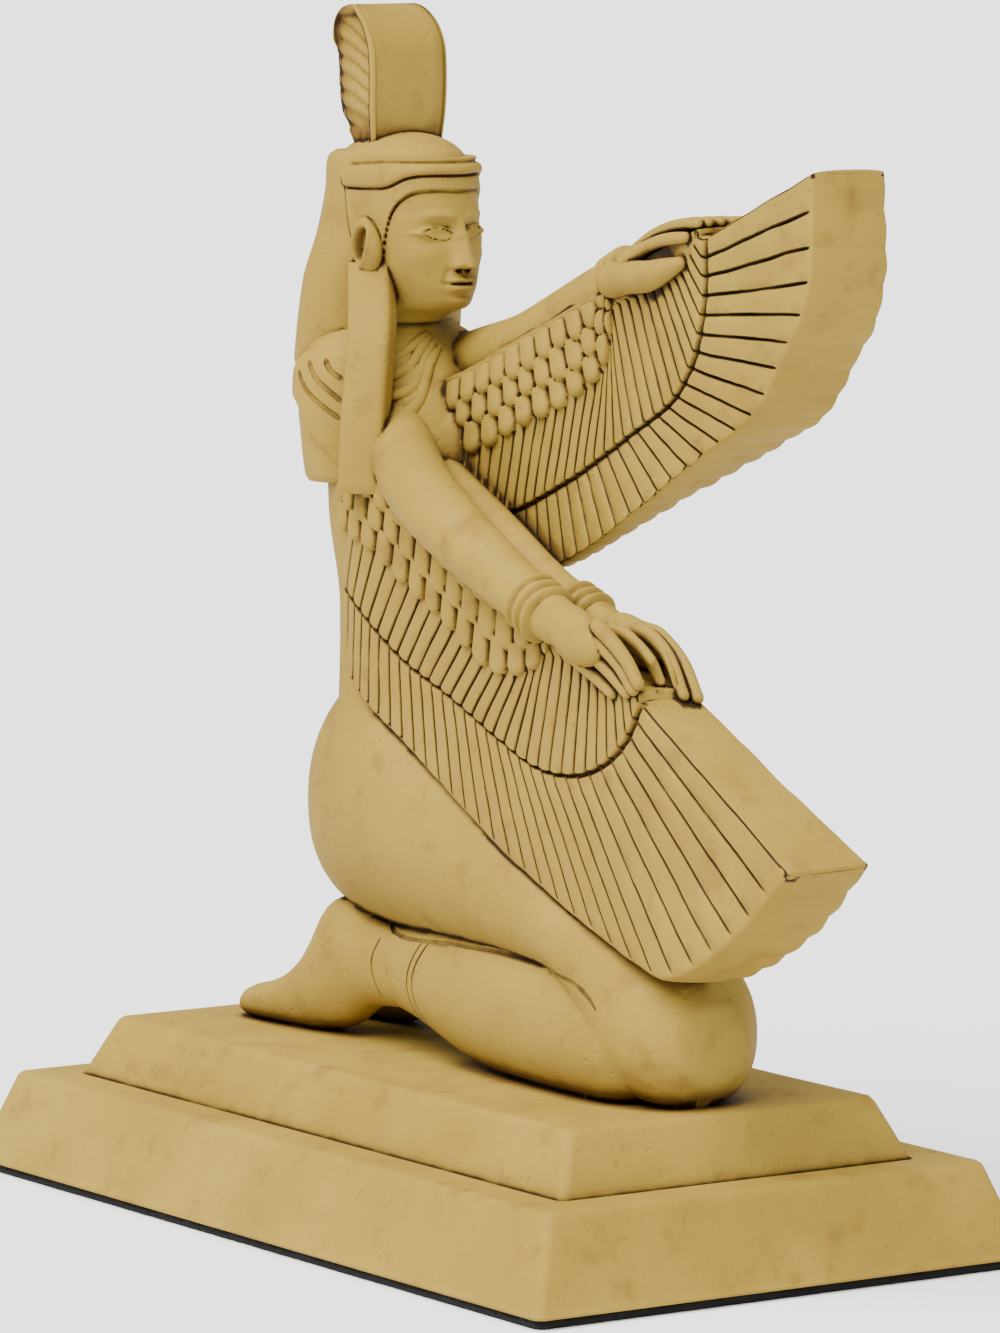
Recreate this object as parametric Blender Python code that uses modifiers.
"""Kneeling winged figure with a feather headdress, on a two-tier plinth with a felt pad.

The figure faces +X, its left side is +Y and +Z is up. The origin is the centre of the underside.
Sizes are in millimetres, and MM turns them into the metres that Blender stores.
"""
import math

import bmesh
import bpy
from mathutils import Vector

MM = 0.001

# Plinth and pad
PLINTH_LENGTH = 170.0
PLINTH_WIDTH = 94.5
FELT_THICKNESS = 1.2
FELT_INSET = 1.0
TOUCH_GAP = 0.3
LOWER_TIER_TOP = 16.7
UPPER_TIER_TOP = 26.5
LOWER_TOP_INSET = 5.4
UPPER_FOOT_INSET = 13.3
UPPER_TOP_INSET = 17.8
PLINTH_ROUNDING = 1.3
FIGURE_FOOT = UPPER_TIER_TOP + TOUCH_GAP

# Wings
NEAR_FACE_Y = -15.0
NEAR_YAW = 0.055
NEAR_PIVOT_X = -20.0
BACK_TURN_X = -10.0
BACK_TURN_RADIUS = 24.0
FAR_FACE_YAW = 0.0235
FEATHER_COUNT = 33
ROOT_CROWDING = 0.38
TIP_OVERHANG = 1.6
COVERT_RISE = 0.7
COVERT_NOTCH = 0.4
COVERT_STEP = 0.3
STEP_SINK = 0.45
STEP_RUN = 1.2
RIM_NOTCH = 0.3
GROOVE_DEPTH = 0.55
SCALE_RISE = 1.5
SCALE_STEP = 0.55
SCALE_ROWS = 3
SCALE_SIDES = 4
SCALE_BULGE = 0.42
SCALE_SHIFT = 0.30
SCALE_NOTCH = 0.45
SCALE_DEPTH = 4.0
NEAR_SCALES = 16
FAR_SCALES = 12

# Degrees that the head looks to its left
HEAD_TURN = 9.0

# Limbs end in a smaller ring, both sizes given as shares of the limb's radius
LIMB_END_REACH = 0.7
LIMB_END_WIDTH = 0.55

# The left leg stands this much further out, so that no two faces of the legs lie in one plane
LEG_OFFSET = 0.07

# Share of the joined figure's faces that is kept
KEPT_SHARE = 0.57

# Colours and finishes
STONE_COLOUR = (0.52, 0.42, 0.23, 1.0)
FELT_COLOUR = (0.02, 0.02, 0.02, 1.0)


def clear_scene():
    """Remove whatever the scene holds before the model is made."""
    for thing in list(bpy.data.objects):
        bpy.data.objects.remove(thing, do_unlink=True)


def make_material(name, colour, roughness):
    """A Principled material with one colour and no metal."""
    material = bpy.data.materials.new(name)
    material.use_nodes = True
    shader = material.node_tree.nodes["Principled BSDF"]
    shader.inputs["Base Color"].default_value = colour
    shader.inputs["Roughness"].default_value = roughness
    shader.inputs["Metallic"].default_value = 0.0
    return material


def mesh_object(name, points, faces):
    """An object from points in millimetres and faces, linked to the working collection."""
    mesh = bpy.data.meshes.new(name)
    mesh.from_pydata([tuple(value * MM for value in point) for point in points], [], faces)
    shell = bmesh.new()
    shell.from_mesh(mesh)
    bmesh.ops.recalc_face_normals(shell, faces=shell.faces)
    bmesh.ops.triangulate(shell, faces=shell.faces)
    shell.to_mesh(mesh)
    shell.free()
    thing = bpy.data.objects.new(name, mesh)
    bpy.context.scene.collection.objects.link(thing)
    return thing


def hermite(table, key):
    """Smooth interpolation of a table of rows at a value of its first column."""
    rows = len(table)
    if key <= table[0][0]:
        return list(table[0])
    if key >= table[-1][0]:
        return list(table[-1])
    index = max(i for i in range(rows - 1) if table[i][0] <= key)

    def slope(i, column):
        low = max(i - 1, 0)
        high = min(i + 1, rows - 1)
        return (table[high][column] - table[low][column]) / (table[high][0] - table[low][0])

    span = table[index + 1][0] - table[index][0]
    t = (key - table[index][0]) / span
    blend = (2 * t**3 - 3 * t**2 + 1, t**3 - 2 * t**2 + t, 3 * t**2 - 2 * t**3, t**3 - t**2)
    row = [key]
    for column in range(1, len(table[0])):
        row.append(blend[0] * table[index][column] + blend[1] * span * slope(index, column)
                   + blend[2] * table[index + 1][column] + blend[3] * span * slope(index + 1, column))
    return row


def curve_through(points):
    """A smooth curve through points, as a function of the share of its length."""
    lengths = [0.0]
    for first, second in zip(points, points[1:]):
        lengths.append(lengths[-1] + math.dist(first, second))
    table = [[length / lengths[-1], *point] for length, point in zip(lengths, points)]
    return lambda share: hermite(table, share)[1:]


def oval(centre, axis_u, axis_v, half_u, half_v, count, power=2.0):
    """A closed oval ring, squarer as the power rises above 2."""
    ring = []
    for step in range(count):
        angle = 2 * math.pi * (step + 0.5) / count
        cosine = math.cos(angle)
        sine = math.sin(angle)
        u = half_u * math.copysign(abs(cosine) ** (2 / power), cosine)
        v = half_v * math.copysign(abs(sine) ** (2 / power), sine)
        ring.append(tuple(centre[i] + axis_u[i] * u + axis_v[i] * v for i in range(3)))
    return ring


def loft(name, rings):
    """A closed solid through rings of equal count, capped at both ends."""
    count = len(rings[0])
    points = [point for ring in rings for point in ring]
    faces = [list(range(count))[::-1]]
    for row in range(len(rings) - 1):
        for step in range(count):
            after = (step + 1) % count
            faces.append([row * count + step, row * count + after,
                          (row + 1) * count + after, (row + 1) * count + step])
    faces.append([(len(rings) - 1) * count + step for step in range(count)])
    return mesh_object(name, points, faces)


def upright_body(name, sections, heights, sides, power=2.0):
    """A body of level ovals from sections of height, centre x, half x and half y."""
    rings = []
    for height in heights:
        z, centre_x, half_x, half_y = hermite(sections, height)
        rings.append(oval((centre_x, 0, z), (1, 0, 0), (0, 1, 0), half_x, half_y, sides, power))
    return loft(name, rings)


def lying_body(name, sections, places, sides, centre_y=0.0, power=2.3):
    """A body of upright ovals from sections of x, lowest z, highest z and half y."""
    rings = []
    for place in places:
        x, low, high, half_y = hermite(sections, place)
        middle = (x, centre_y, (low + high) / 2)
        rings.append(oval(middle, (0, 1, 0), (0, 0, 1), half_y, (high - low) / 2, sides, power))
    return loft(name, rings)


def limb(name, path, sides, steps):
    """A tapering limb along path points of x, y, z and radius, with rounded ends."""
    curve = curve_through(path)
    side_axis = Vector((0, 1, 0))
    rings = []
    for step in range(steps + 1):
        share = step / steps
        *middle, radius = curve(share)
        ahead = Vector(curve(min(share + 0.02, 1.0))[:3]) - Vector(curve(max(share - 0.02, 0.0))[:3])
        along = ahead.normalized()
        across = (side_axis - along * side_axis.dot(along)).normalized()
        up = along.cross(across)
        ring = oval(middle, across, up, radius, radius, sides)
        if step in (0, steps):
            reach = LIMB_END_REACH * radius * (-1 if step == 0 else 1)
            tip = [middle[i] + along[i] * reach for i in range(3)]
            end = oval(tip, across, up, LIMB_END_WIDTH * radius, LIMB_END_WIDTH * radius, sides)
            rings += [end, ring] if step == 0 else [ring, end]
        else:
            rings.append(ring)
    return loft(name, rings)


def egg(name, centre, halves, segments=14, rings=8, tilt=0.0):
    """An ellipsoid, turned about Y by tilt in degrees."""
    shell = bmesh.new()
    bmesh.ops.create_uvsphere(shell, u_segments=segments, v_segments=rings, radius=1.0)
    bmesh.ops.triangulate(shell, faces=shell.faces)
    mesh = bpy.data.meshes.new(name)
    angle = math.radians(tilt)
    for vertex in shell.verts:
        x = vertex.co.x * halves[0]
        y = vertex.co.y * halves[1]
        z = vertex.co.z * halves[2]
        vertex.co = ((centre[0] + x * math.cos(angle) + z * math.sin(angle)) * MM,
                     (centre[1] + y) * MM,
                     (centre[2] - x * math.sin(angle) + z * math.cos(angle)) * MM)
    shell.to_mesh(mesh)
    shell.free()
    thing = bpy.data.objects.new(name, mesh)
    bpy.context.scene.collection.objects.link(thing)
    return thing


def slab(name, front, back):
    """A closed slab between two sheets, each a list of rows, joined along their rims."""
    columns = len(front[0])
    points = [point for row in front for point in row] + [point for row in back for point in row]
    start = len(front) * columns
    faces = []
    for base, rows in ((0, len(front)), (start, len(back))):
        for row in range(rows - 1):
            for step in range(columns - 1):
                corner = base + row * columns + step
                faces.append([corner, corner + 1, corner + columns + 1, corner + columns])
    front_last = (len(front) - 1) * columns
    back_last = start + (len(back) - 1) * columns
    for step in range(columns - 1):
        faces.append([step, start + step, start + step + 1, step + 1])
        faces.append([front_last + step, front_last + step + 1, back_last + step + 1, back_last + step])
    for edge in (0, columns - 1):
        ahead = [row * columns + edge for row in range(len(front))]
        behind = [start + row * columns + edge for row in range(len(back))]
        faces.append(ahead + behind[::-1])
    return mesh_object(name, points, faces)


def near_face(x):
    """Y of the lowered wing's outer face: nearly flat, and bent round the back at its root."""
    if x > BACK_TURN_X:
        return NEAR_FACE_Y + NEAR_YAW * (x - NEAR_PIVOT_X)
    reach = min((BACK_TURN_X - x) / BACK_TURN_RADIUS, 0.98)
    start = NEAR_FACE_Y + NEAR_YAW * (BACK_TURN_X - NEAR_PIVOT_X)
    return start * math.sqrt(1 - reach**2)


def near_thickness(x, _share=0.0):
    """Thickness of the lowered wing, greatest at its tip and the same from its arm to its edge."""
    return hermite([[-40, 11], [0, 11], [50, 10.6], [75, 12.9], [97, 15.9]], x)[1]


def far_face(x):
    """Y of the raised wing's inner face."""
    return FAR_FACE_YAW * x


def far_thickness(x, share):
    """Thickness of the raised wing, thin along its lower root and thick at its tip."""
    arm_side = hermite([[-20, 11], [30, 11], [60, 12.5], [90, 14]], x)[1]
    rim_side = hermite([[-20, 4], [30, 4], [45, 8], [60, 12.5], [90, 14]], x)[1]
    return arm_side + (rim_side - arm_side) * share


def feather_columns():
    """Stations along a wing, with a groove between every two feathers: place and groove weight."""
    columns = []
    for feather in range(FEATHER_COUNT):
        columns.append((feather / FEATHER_COUNT, 1.0))
        columns.append(((feather + 0.5) / FEATHER_COUNT, 0.0))
    columns.append((1.0, 0.0))
    return columns


def crowded(place, amount):
    """Share of a guide curve where feathers are narrower at the root as the amount rises above 0."""
    return place * (1 - amount) + amount * place**2


def wing_plate(name, arm, coverlets, coverts, edge, face, thickness):
    """A wing's plate: coverts over primaries, with a groove between every two feathers.

    The decorated face looks towards -Y. Rows run from the arm to the trailing edge.
    """
    front = [[] for _ in range(6)]
    back = [[] for _ in range(3)]
    for place, groove in feather_columns():
        top = arm(place)
        start = coverlets(crowded(place, -ROOT_CROWDING))
        middle = coverts(place)
        rim = edge(crowded(place, ROOT_CROWDING))
        reach = math.dist(middle, rim)
        toward = [(rim[i] - middle[i]) / reach for i in range(2)]

        def beyond(shift):
            return [middle[i] + toward[i] * shift for i in range(2)]

        places = [(top, COVERT_RISE, 0.0), (start, COVERT_RISE, GROOVE_DEPTH),
                  (beyond(-COVERT_NOTCH * groove), COVERT_RISE, GROOVE_DEPTH),
                  (beyond(COVERT_STEP), -STEP_SINK, 0.0), (beyond(STEP_RUN), 0.0, GROOVE_DEPTH),
                  (beyond(reach - RIM_NOTCH * groove), 0.0, GROOVE_DEPTH)]
        for row, (spot, rise, depth) in enumerate(places):
            front[row].append((spot[0], face(spot[0]) - rise + depth * groove, spot[1]))
        overhang = TIP_OVERHANG * max(0.0, min(1.0, 5.0 * (place - 0.6))) * min(1.0, 12.0 * (1.0 - place))
        for row, (spot, weight) in enumerate([(top, 0.0), (middle, 1.0), (beyond(reach + overhang), 1.0)]):
            depth = thickness(spot[0], row / 2) - GROOVE_DEPTH * groove * weight
            back[row].append((spot[0], face(spot[0]) + depth, spot[1]))
    return slab(name, front, back)


def scale_edge(phase):
    """How far a scale's rounded edge reaches beyond its row, at a share of the scale's width."""
    return SCALE_BULGE * (1 - abs(2 * phase - 1) ** 2) - SCALE_SHIFT


def scale_band(name, upper, lower, face, count):
    """Rows of overlapping rounded scales between two guide curves."""
    columns = count * SCALE_SIDES
    front = []
    for row in range(SCALE_ROWS):
        for part, rise in ((0, SCALE_RISE - SCALE_STEP), (1, SCALE_RISE)):
            line = []
            for column in range(columns + 1):
                share = column / columns
                phase = (column / SCALE_SIDES + 0.5 * (row % 2)) % 1.0
                reach = row + part
                if part:
                    reach += scale_edge(phase)
                elif row:
                    reach += scale_edge((phase + 0.5) % 1.0) + 0.06
                top = upper(share)
                bottom = lower(share)
                spot = [top[i] + (bottom[i] - top[i]) * reach / SCALE_ROWS for i in range(2)]
                notch = SCALE_NOTCH if phase < 0.01 else 0.0
                line.append((spot[0], face(spot[0]) - rise + notch, spot[1]))
            front.append(line)
    back = []
    for source in (front[0], front[-1]):
        back.append([(x, face(x) + SCALE_DEPTH, z) for x, y, z in source])
    return slab(name, front, back)


def lower_body():
    """Hips, lap and knees under the close-fitting dress."""
    sections = [[-38.6, 60, 68, 4.0], [-37.4, 55, 74, 8.6], [-33, 49.0, 82, 12.8], [-26, 46.0, 88, 15.0],
                [-15, 44.8, 91, 16.0], [-3, 44.4, 85, 16.0], [10, 44.4, 75.5, 15.4],
                [25, 44.0, 66.5, 14.6], [38, 41.5, 59.5, 13.8], [46, 33.0, 56.0, 13.5],
                [51, 27.0, 53.8, 13.3], [57, 25.8, 50.6, 12.4], [61, 26.6, 47.6, 10.6],
                [63.6, 30, 43.5, 7.6]]
    places = [-38.6, -37.4, -33.5, -27, -19, -10, 1, 13, 26, 36, 42, 47, 51, 55.5, 59.5, 62, 63.6]
    return lying_body("hips and thighs", sections, places, 18)


def lower_leg(name, side):
    """A folded lower leg from the ankle to the knee."""
    sections = [[-22, 33.5, 46.0, 3.6], [-12, 33.0, 46.6, 4.4], [-2, 31.0, 47.6, 5.6],
                [10, 27.6, 48.2, 6.5], [24, 26.2, 48.4, 7.2], [40, 25.8, 47.5, 7.3], [50, 26.2, 45, 6.6],
                [55, 28.0, 42, 5.0]]
    return lying_body(name, sections, [-22, -11, 0, 11, 23, 34, 44, 50, 55], 11,
                      centre_y=side * 6.8 + LEG_OFFSET)


def foot(name, side):
    """A foot bent back with its sole turned out and its toes on the plinth."""
    sections = [[-57, 27.2, 29.4, 3.6], [-55.6, 26.2, 31.4, 4.8], [-50, 26.0, 33.0, 5.4],
                [-44, 26.0, 35.4, 5.2], [-39, 26.0, 39.2, 4.9], [-35.5, 26.2, 43.6, 4.8],
                [-32.4, 27.0, 48.2, 4.7], [-27, 28.4, 49.6, 4.6], [-20, 32.2, 47, 4.2],
                [-12, 33.2, 46.2, 4.2]]
    return lying_body(name, sections, [-57, -55.6, -50, -43, -38.5, -34.5, -31, -26, -19, -12], 10,
                      centre_y=side * 7.3 + LEG_OFFSET)


def anklet(name, side):
    """A broad band round the ankle."""
    sections = [[-18.7, 32.7, 46.9, 4.5], [-17.7, 32.2, 47.3, 5.0], [-4.8, 30.6, 48.2, 5.9],
                [-4.0, 31.2, 47.8, 5.3]]
    return lying_body(name, sections, [-18.7, -17.7, -4.8, -4.0], 11, centre_y=side * 6.9 + LEG_OFFSET)


def torso():
    """Waist and chest under the shawl."""
    sections = [[74, -18.5, 13.5, 14.0], [88, -20.0, 11.4, 13.0], [100, -21.5, 10.0, 12.4],
                [112, -21.8, 12.0, 13.6], [122, -20.4, 15.2, 14.2], [130, -22.0, 14.4, 15.4],
                [137, -24.0, 11.4, 13.5], [141.5, -23.6, 6.8, 7.6], [145, -23.2, 5.7, 5.9],
                [152, -22.6, 5.7, 5.9]]
    heights = [74, 84, 94, 103, 112, 118, 123, 128, 133, 137.5, 141.5, 145, 152]
    return upright_body("torso", sections, heights, 18)


def shawl():
    """The shawl round the shoulders, with its hem across the back."""
    sections = [[118.2, -26.4, 10.6, 16.4], [119.2, -26.3, 11.4, 17.0], [126, -26.2, 12.4, 17.8],
                [133, -26.2, 12.8, 18.2], [138, -26.4, 11.8, 17.2], [142, -26.4, 8.8, 13.0],
                [144.2, -26, 6.5, 8]]
    return upright_body("shawl", sections, [118.2, 119.2, 124, 129, 134, 138.5, 142, 144.2], 18)


def shawl_folds():
    """Folds that fan out across the chest from the left shoulder to the right side."""
    folds = []
    for number in range(5):
        spread = number / 4
        path = [(-19.5, 9.0 + 1.2 * spread, 142.6 - 0.8 * spread, 0.9),
                (-11.6 + 1.4 * spread, 4.6, 141.4 - 3.4 * spread, 1.1),
                (-9.6 + 2.4 * spread, -2.4, 139.6 - 7.6 * spread, 1.2),
                (-12.2 + 2.2 * spread, -9.4, 139.2 - 10.2 * spread, 1.1)]
        folds.append(limb("fold %d" % number, path, 5, steps=5))
    return folds


def wig():
    """The long hair behind the ears, wider towards the shoulders."""
    sections = [[139.2, -31.6, 10.0, 14.2], [140.4, -31.6, 10.6, 14.7], [151, -30.0, 10.5, 13.8],
                [158, -28.8, 10.0, 12.0], [165, -28.0, 9.8, 10.7], [170.6, -27.5, 9.5, 10.5],
                [171.6, -27.3, 8.4, 9.4]]
    return upright_body("wig", sections, [139.2, 140.4, 148, 156, 164, 170.6, 171.6], 16)


def lappet():
    """The flat lock of hair that hangs before the right shoulder."""
    across = Vector((0.76, 0.65, 0)).normalized()
    outward = Vector((0.65, -0.76, 0)).normalized()
    sections = [[117.6, -12.8, -16.0, 3.7, 2.4], [118.4, -12.8, -16.0, 4.0, 2.8],
                [130, -13.3, -15.2, 3.8, 2.8], [142, -14.8, -12.8, 3.6, 3.0],
                [148, -17.4, -10.6, 3.6, 2.8], [154, -20.0, -9.0, 3.4, 2.0]]
    rings = []
    for height in (117.6, 118.4, 126, 134, 142, 148, 154):
        z, x, y, half_across, half_out = hermite(sections, height)
        rings.append(oval((x, y, z), across, outward, half_across, half_out, 10, power=4.0))
    return loft("lappet", rings)


def bump(value, centre, width):
    """A smooth rise of height one."""
    return math.exp(-((value - centre) / width) ** 2)


def head_radius(angle, z, front, side):
    """Distance from the head's axis to its surface, with the features of a calm, plain face."""
    cosine = math.cos(angle)
    sine = math.sin(angle)
    reach = 1 / math.sqrt((cosine / front) ** 2 + (sine / side) ** 2)
    if cosine <= 0:
        return reach
    y = reach * sine
    nose_length = max(0.0, min(1.0, (161.0 - z) / 6.0)) if z > 154.0 else max(0.0, 1 - (154.0 - z) / 1.0)
    reach += 2.6 * nose_length * bump(y, 0, 1.9)
    reach -= 1.5 * bump(abs(y), 3.9, 2.2) * bump(z, 159.2, 1.7)
    reach += 0.9 * bump(y, 0, 3.6) * (bump(z, 152.4, 0.8) + bump(z, 150.6, 0.8))
    reach -= 0.5 * bump(y, 0, 4.0) * bump(z, 149.3, 0.6)
    reach += 0.6 * bump(y, 0, 3.5) * bump(z, 147.4, 1.3)
    return reach


def head():
    """The head from the jaw to the headband."""
    sections = [[144.5, 5.6, 5.7], [146.0, 8.6, 6.6], [146.8, 12.2, 7.4], [149.0, 13.2, 8.6],
                [152.0, 13.5, 9.7], [156.0, 13.4, 10.5], [160.0, 13.3, 10.9], [164.0, 13.5, 10.9],
                [168.5, 13.0, 10.4]]
    heights = [144.5, 146.2, 147.0, 148.6, 149.8, 151.5, 153.0, 154.4, 156.4, 159.2, 161, 168.5]
    angles = []
    for step in range(-6, 7):
        angles.append(math.radians(12.0 * step))
    for step in range(1, 8):
        angles.append(math.radians(72.0 + 27.0 * step))
    rings = []
    for height in heights:
        z, front, side = hermite(sections, height)
        ring = []
        for angle in angles:
            reach = head_radius(angle, z, front, side)
            turned = angle + math.radians(HEAD_TURN)
            ring.append((-22.0 + reach * math.cos(turned), reach * math.sin(turned), z))
        rings.append(ring)
    return loft("head", rings)


def headdress():
    """Two bands, a low cap and one tall plume that curls backwards at its top."""
    sections = [[167.0, -28.4, -22.4, 6.2], [172.5, -28.8, -22.2, 7.0], [177, -31.6, -21.8, 7.3],
                [182, -32.6, -21.6, 7.5], [188.5, -33.4, -21.8, 7.6], [192.2, -33.4, -23.8, 7.5],
                [194.4, -32.2, -26.6, 7.2], [195.2, -31.0, -28.6, 6.6]]
    rings = []
    for height in (167.0, 172.5, 177, 182, 188.5, 190.8, 192.8, 194.4, 195.2):
        z, back, front, half_y = hermite(sections, height)
        middle = ((back + front) / 2, 0, z)
        rings.append(oval(middle, (1, 0, 0), (0, 1, 0), (front - back) / 2, half_y, 12, power=5.0))
    plume = loft("plume", rings)
    cap = egg("cap", (-23.8, 0, 169.6), (11.8, 9.6, 5.0), 16, 7)
    band_sections = [[165.0, 13.4, 10.8], [165.7, 14.2, 11.5], [167.2, 14.2, 11.5], [167.8, 13.4, 10.8],
                     [168.4, 14.0, 11.3], [169.8, 13.9, 11.2], [170.4, 13.0, 10.5]]
    rings = [oval((-22.8, 0, z), (1, 0, 0), (0, 1, 0), half_x, half_y, 18) for z, half_x,
             half_y in band_sections]
    return [plume, cap, loft("bands", rings)]


def ear(name, side):
    """A plain ear that stands out before the wig."""
    return egg(name, (-18.6, side * 10.4, 156.8), (3.0, 1.5, 4.7), 10, 6, tilt=-12)


def plume_barbs():
    """Slanting barbs on the near side of the plume."""
    barbs = []
    for step in range(7):
        z = 176.5 + 2.3 * step
        path = [(-31.8, -7.0, z + 1.5, 0.85), (-24.6, -7.4, z - 1.9, 0.75)]
        barbs.append(limb("barb %d" % step, path, 4, steps=1))
    return barbs


def bracelet(name, centre, along, half, width):
    """A ring round a wrist, square to the way the arm points."""
    along = Vector(along).normalized()
    across = (Vector((0, 1, 0)) - along * along.y).normalized()
    up = along.cross(across)
    rings = []
    for shift, inset in ((-width / 2, 0.6), (0.0, 0.0), (width / 2, 0.6)):
        middle = [centre[i] + along[i] * shift for i in range(3)]
        rings.append(oval(middle, across, up, half - inset, half - inset, 10))
    return loft(name, rings)


def near_arm():
    """The lowered right arm, its bracelets and its hand on both faces of the wing."""
    pieces = []
    path = [(-17, -7.0, 128.5, 5.2), (-8, -10.4, 124.2, 5.4), (1, -13.6, 119.8, 5.6),
            (10, -14.8, 115.4, 5.4), (20, -14.6, 110.4, 5.0), (32, -13.8, 104.6, 4.4),
            (39.5, -13.0, 101.4, 3.9)]
    pieces.append(limb("right arm", path, 10, steps=7))
    along = (7.5, 0.4, -3.4)
    for step in range(2):
        pieces.append(bracelet("right bracelet %d" % step, (32.4 + 3.4 * step, -13.5, 104.4 - 1.5 * step),
                               along, 5.3 - 0.3 * step, 2.4))
    pieces.append(egg("right hand", (46.2, -12.6, 99.4), (7.2, 3.4, 4.4), 10, 6, tilt=22))
    fingers = [((43.5, 97.2), (45.5, 94.2), (49.6, 92.6)), ((46.5, 97.6), (50.0, 93.6), (54.6, 90.4)),
               ((50.0, 98.6), (54.4, 95.0), (59.2, 91.0)), ((53.6, 100.0), (57.6, 97.0), (61.6, 92.8))]
    for number, points in enumerate(fingers):
        path = [(x, near_face(x) - 0.9, z, 1.55) for x, z in points]
        pieces.append(limb("right finger %d" % number, path, 6, steps=2))
        mirrored = [(x - 2.6, near_face(x) + near_thickness(x) - 0.5, z - 1.2, 1.6) for x, z in points]
        pieces.append(limb("right palm finger %d" % number, mirrored, 6, steps=2))
    inner = [(-6, -3.5, 118.6, 4.3), (10, -3.6, 111.8, 4.2), (24, -3.5, 105.6, 3.9), (36, -3.2, 101.0, 3.6)]
    pieces.append(limb("right arm inner side", inner, 8, steps=4))
    pieces.append(bracelet("inner bracelet", (32.6, -3.3, 102.4), along, 4.9, 2.6))
    pieces.append(egg("right hand inner side", (45.4, -2.4, 98.6), (7.4, 3.2, 4.4), 10, 6, tilt=30))
    return pieces


def far_arm():
    """The raised left arm with its bracelets and the hand that holds the wing's edge."""
    pieces = []
    path = [(-24, 11.4, 134, 7.0), (-12, 9.4, 137.6, 5.9), (4, 6.6, 141.6, 5.3), (18, 5.2, 147.2, 4.8),
            (29, 4.4, 152.0, 4.2), (37, 4.2, 155.0, 3.8)]
    pieces.append(limb("left arm", path, 10, steps=7))
    along = (8, -0.2, 3.4)
    for step in range(2):
        pieces.append(bracelet("left bracelet %d" % step, (31.2 + 3.2 * step, 4.0, 152.6 + 1.4 * step),
                               along, 4.9 - 0.2 * step, 1.8))
    for number, face_y in enumerate((0.0, 9.5)):
        pieces.append(egg("left hand %d" % number, (42.6, face_y + 0.8, 155.6), (5.2, 2.8, 4.4), 10, 6,
                          tilt=-30))
        upper = [(41, face_y, 157.2, 2.1), (47.5, face_y, 160.6, 2.1), (53.5, face_y, 162.4, 1.8),
                 (58.4, face_y, 162.2, 1.3)]
        lower = [(40.5, face_y, 153.2, 2.2), (47.5, face_y, 152.6, 2.1), (53, face_y, 154.8, 1.9),
                 (58.2, face_y, 158.2, 1.4)]
        pieces.append(limb("left thumb %d" % number, upper, 6, steps=3))
        pieces.append(limb("left fingers %d" % number, lower, 6, steps=3))
    return pieces


def near_wing():
    """The lowered wing, which covers the right side and rests on the knees."""
    arm = curve_through([(-32, 118.5), (-20, 122), (-8, 121.5), (10, 113.6), (22, 106.8), (34, 101.2),
                         (44, 96.0), (52, 93.0), (58.6, 91.8)])
    scale_ends = [(-32, 113.4), (-22, 112), (-11.6, 109.1), (-3.3, 105.4), (4.8, 101.6), (14.1, 96.3),
                  (23.3, 92.4), (31.2, 92.5), (35.8, 95.6)]
    scales = curve_through(scale_ends + [(37.6, 99.6)])
    coverlets = curve_through(scale_ends + [(44.5, 94.0), (52.0, 91.6), (58.8, 91.8)])
    coverts = curve_through([(-32, 104.0), (-22, 102.0), (-13.3, 98.1), (-3.3, 92.5), (10.1, 87.2),
                             (23.3, 81.5), (33.8, 77.9), (42.8, 77.8), (50.4, 80.6), (55.5, 84.5),
                             (59.2, 90.4)])
    edge = curve_through([(-32, 90.6), (-22, 88.0), (-13.3, 83.3), (-3.3, 78.3), (10.1, 70.8),
                          (23.3, 63.5), (42.3, 55.2), (58.9, 49.2), (65.2, 47.8), (74.0, 50.8),
                          (84.0, 57.2), (91.5, 63.8), (95.6, 67.7)])
    plate = wing_plate("near wing", arm, coverlets, coverts, edge, near_face, near_thickness)
    line = curve_through([(-32, 119.5), (-20, 122), (-8, 121.0), (10, 113), (26, 106), (38.4, 101.6)])
    band = scale_band("near scales", line, scales, near_face, NEAR_SCALES)
    return [plate, band]


def far_wing():
    """The raised wing, which opens forward from the left shoulder."""
    arm = curve_through([(-14, 134), (0, 139.0), (16, 145.6), (33, 152.4), (46, 158.4), (57.6, 162.8)])
    scale_ends = [(-14, 120.4), (-7.5, 123.2), (4.3, 126.5), (16.7, 131.3), (26.2, 135.1), (32.9, 138.7),
                  (35.1, 143.6), (35.6, 149.0)]
    scales = curve_through(scale_ends)
    coverlets = curve_through(scale_ends + [(44, 152.0), (53, 155.0), (57.6, 161.6)])
    coverts = curve_through([(-14, 108.6), (1.2, 113.6), (12.6, 117.5), (24.9, 122.7), (39.6, 130.2),
                             (50.2, 136.0), (55.4, 141.7), (57.9, 148.1), (58.8, 153.5), (58.8, 161.4)])
    edge = curve_through([(-14, 98.0), (2.0, 101.5), (15.4, 106.2), (23.6, 108.8), (33.0, 113.2),
                          (47.6, 121.4), (62.4, 129.7), (72.1, 135.2), (79.6, 144.7), (83.4, 149.8),
                          (85.8, 156.3), (86.4, 164), (86.5, 172.9)])
    plate = wing_plate("far wing", arm, coverlets, coverts, edge, far_face, far_thickness)
    line = curve_through([(-14, 133), (0, 138.0), (16, 144.6), (30, 150.0), (35.0, 152.0)])
    band = scale_band("far scales", line, scales, far_face, FAR_SCALES)
    return [plate, band]


def evaluated_copy(thing):
    """The mesh of an object with its modifiers applied."""
    graph = bpy.context.evaluated_depsgraph_get()
    return bpy.data.meshes.new_from_object(thing.evaluated_get(graph))


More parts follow.
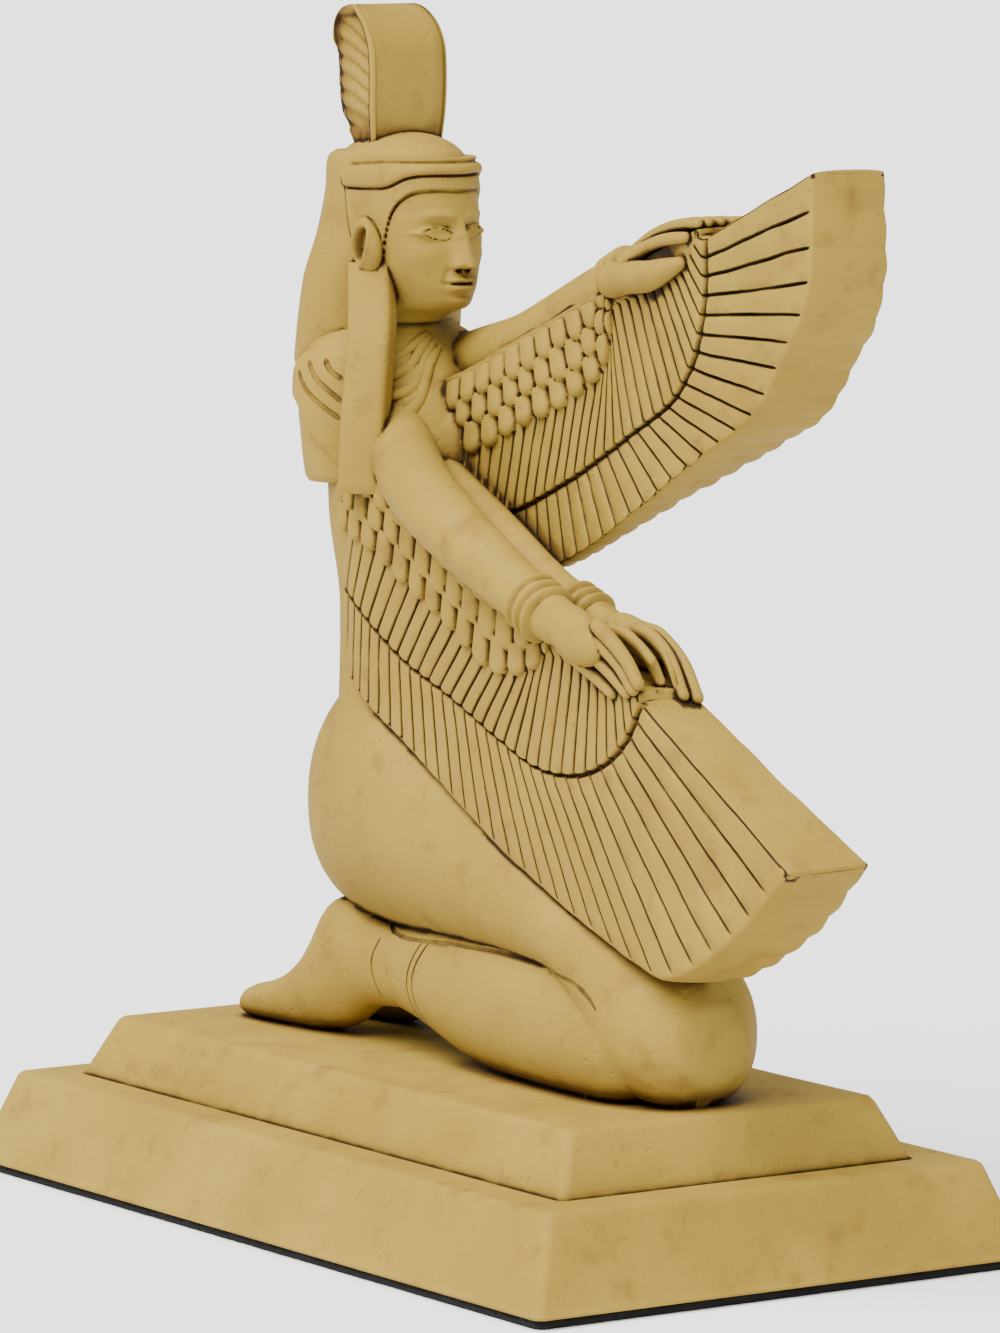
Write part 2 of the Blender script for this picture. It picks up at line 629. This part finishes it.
def fuse(base, others):
    """Join closed bodies into one solid, one Boolean union at a time.

    So many bodies cross one another here that the exact solver leaves open edges, so the solver for
    closed meshes joins them.
    """
    for other in others:
        union = base.modifiers.new("union", "BOOLEAN")
        union.operation = "UNION"
        union.solver = "MANIFOLD"
        union.object = other
        joined = evaluated_copy(base)
        base.modifiers.clear()
        base.data = joined
        bpy.data.objects.remove(other, do_unlink=True)
    return base


def trim_below(thing, height):
    """Cut a body off flat at a height."""
    shell = bmesh.new()
    bmesh.ops.create_cube(shell, size=1.0)
    mesh = bpy.data.meshes.new("trim")
    for vertex in shell.verts:
        vertex.co = (vertex.co.x * 400 * MM, vertex.co.y * 400 * MM, (height - 50 + vertex.co.z * 100) * MM)
    shell.to_mesh(mesh)
    shell.free()
    cutter = bpy.data.objects.new("trim", mesh)
    bpy.context.scene.collection.objects.link(cutter)
    cut = thing.modifiers.new("cut", "BOOLEAN")
    cut.operation = "DIFFERENCE"
    cut.solver = "MANIFOLD"
    cut.object = cutter
    trimmed = evaluated_copy(thing)
    thing.modifiers.clear()
    thing.data = trimmed
    bpy.data.objects.remove(cutter, do_unlink=True)


def drop_crumbs(shell):
    """Keep only the largest connected body of a mesh."""
    unseen = set(shell.verts)
    bodies = []
    while unseen:
        front = [unseen.pop()]
        body = set(front)
        while front:
            for edge in front.pop().link_edges:
                for vertex in edge.verts:
                    if vertex in unseen:
                        unseen.discard(vertex)
                        body.add(vertex)
                        front.append(vertex)
        bodies.append(body)
    bodies.sort(key=len)
    for body in bodies[:-1]:
        bmesh.ops.delete(shell, geom=list(body), context="VERTS")


def plain_triangles(thing, ratio):
    """Thin the flat stretches out, drop loose crumbs and split every face into triangles."""
    thinner = thing.modifiers.new("thin out", "DECIMATE")
    thinner.ratio = ratio
    thinned = evaluated_copy(thing)
    thing.modifiers.clear()
    thing.data = thinned
    shell = bmesh.new()
    shell.from_mesh(thing.data)
    drop_crumbs(shell)
    bmesh.ops.triangulate(shell, faces=shell.faces)
    shell.to_mesh(thing.data)
    shell.free()


def make_figure():
    """The whole cast figure as one solid."""
    body = lower_body()
    others = [torso(), shawl(), wig(), head(), lappet()]
    for name, side in (("right", -1), ("left", 1)):
        others += [lower_leg(name + " lower leg", side), foot(name + " foot", side),
                   anklet(name + " anklet", side)]
        others.append(ear(name + " ear", side))
    others += headdress()
    others += plume_barbs()
    others += near_arm() + far_arm()
    others += near_wing() + far_wing()
    others += shawl_folds()
    figure = fuse(body, others)
    trim_below(figure, FIGURE_FOOT)
    plain_triangles(figure, KEPT_SHARE)
    return figure


def make_plinth():
    """Two tiers with sloping sides, cast as one."""
    half_length = PLINTH_LENGTH / 2
    half_width = PLINTH_WIDTH / 2
    levels = [(FELT_THICKNESS + TOUCH_GAP, 0.0), (LOWER_TIER_TOP, LOWER_TOP_INSET),
              (LOWER_TIER_TOP, UPPER_FOOT_INSET), (UPPER_TIER_TOP, UPPER_TOP_INSET)]
    rings = []
    for height, inset in levels:
        x = half_length - inset
        y = half_width - inset
        rings.append([(-x, -y, height), (x, -y, height), (x, y, height), (-x, y, height)])
    plinth = loft("plinth", rings)
    edges = plinth.modifiers.new("soft edges", "BEVEL")
    edges.width = PLINTH_ROUNDING * MM
    edges.segments = 2
    edges.limit_method = "ANGLE"
    edges.angle_limit = math.radians(30)
    return plinth


def make_felt():
    """The thin felt pad under the plinth."""
    x = PLINTH_LENGTH / 2 - FELT_INSET
    y = PLINTH_WIDTH / 2 - FELT_INSET
    rings = [[(-x, -y, z), (x, -y, z), (x, y, z), (-x, y, z)] for z in (0.0, FELT_THICKNESS)]
    return loft("felt_pad", rings)


def main():
    """Make the three pieces, each with its own material, in one collection."""
    clear_scene()
    stone = make_material("aged stone", STONE_COLOUR, 0.7)
    plinth_stone = make_material("aged stone of the plinth", STONE_COLOUR, 0.72)
    felt = make_material("black felt", FELT_COLOUR, 0.95)
    group = bpy.data.collections.new("winged maat figure")
    bpy.context.scene.collection.children.link(group)
    pieces = [("figure", make_figure(), stone), ("plinth", make_plinth(), plinth_stone),
              ("felt_pad", make_felt(), felt)]
    for name, thing, material in pieces:
        thing.name = name
        thing.data.materials.clear()
        thing.data.materials.append(material)
        bpy.context.scene.collection.objects.unlink(thing)
        group.objects.link(thing)


main()
